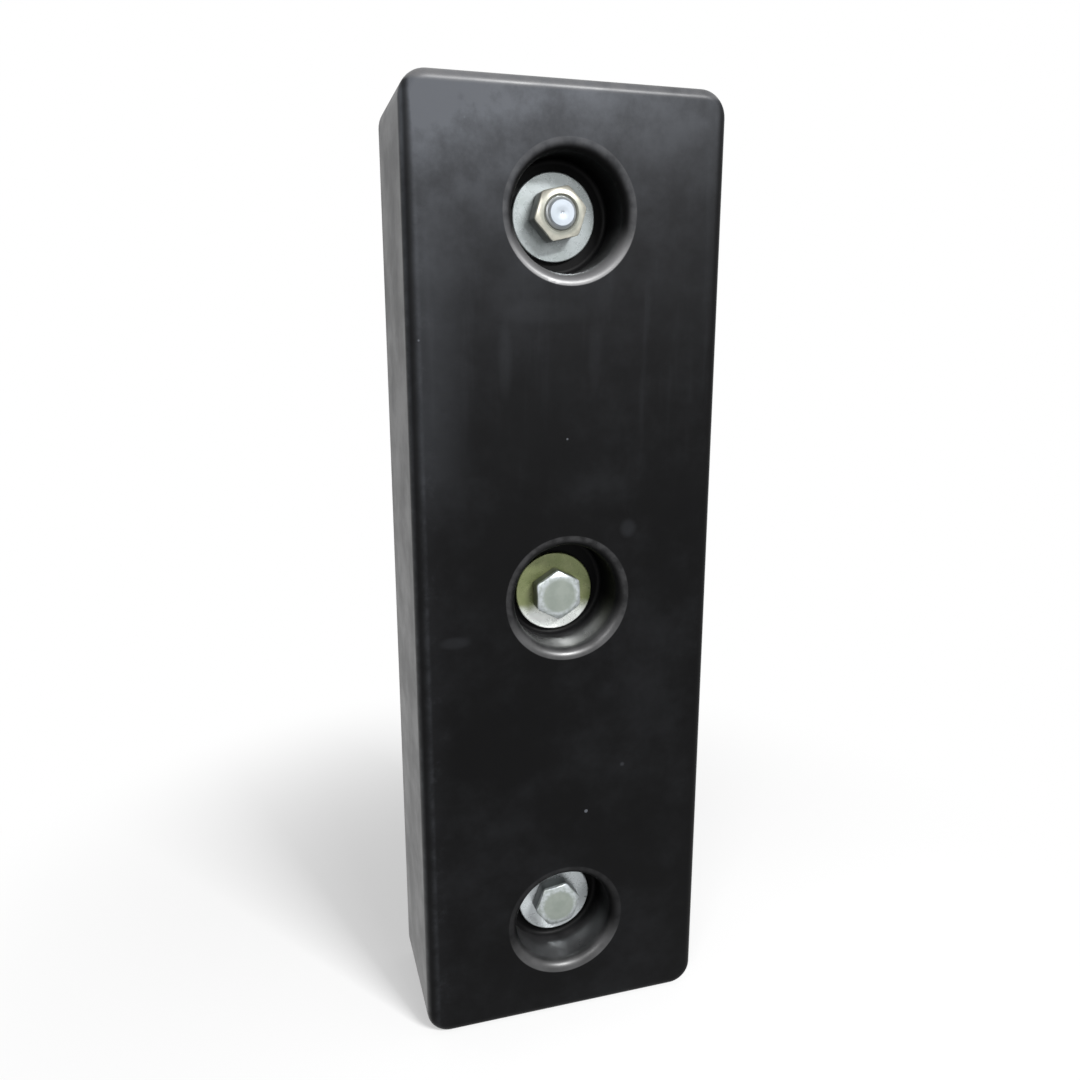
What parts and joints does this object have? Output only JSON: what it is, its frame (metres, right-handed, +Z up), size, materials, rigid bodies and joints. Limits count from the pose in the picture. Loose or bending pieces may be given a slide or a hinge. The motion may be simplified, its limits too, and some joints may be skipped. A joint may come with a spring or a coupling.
{
  "type": "impact protector",
  "caption": "Upright moulded rubber block with a rounded striking face, held to a wall by steel fixings sunk in counterbores, to take knocks at a loading bay or conveyor.",
  "frame": {"origin": "middle of the flat face that lies against the wall, on the axis of the middle hole", "axes": "+X across the block to the right as seen from in front, +Y into the wall along the fixings, +Z up the block; the struck face looks along -Y"},
  "size_m": [0.16, 0.136, 0.5],
  "materials": {
    "rubber": "smooth moulded black rubber with a faint grey bloom and light scuffs",
    "washer_zinc": "rolled steel, bright zinc plated with a bluish passivate",
    "washer_olive": "rolled steel, zinc plated with an olive passivate",
    "stud_zinc": "bright zinc plated thread with a sawn and plated end",
    "nut_plate": "pressed nut with a warm nickel-white plating",
    "bolt_zinc": "forged bolt head, dull greenish zinc plating"
  },
  "bodies": {
    "root": {"rubber_block": "rubber", "upper_washer": "washer_zinc", "middle_washer": "washer_olive", "lower_washer": "washer_zinc", "upper_stud": "stud_zinc", "upper_nut": "nut_plate", "middle_bolt": "bolt_zinc", "lower_bolt": "bolt_zinc"}
  },
  "joints": []
}
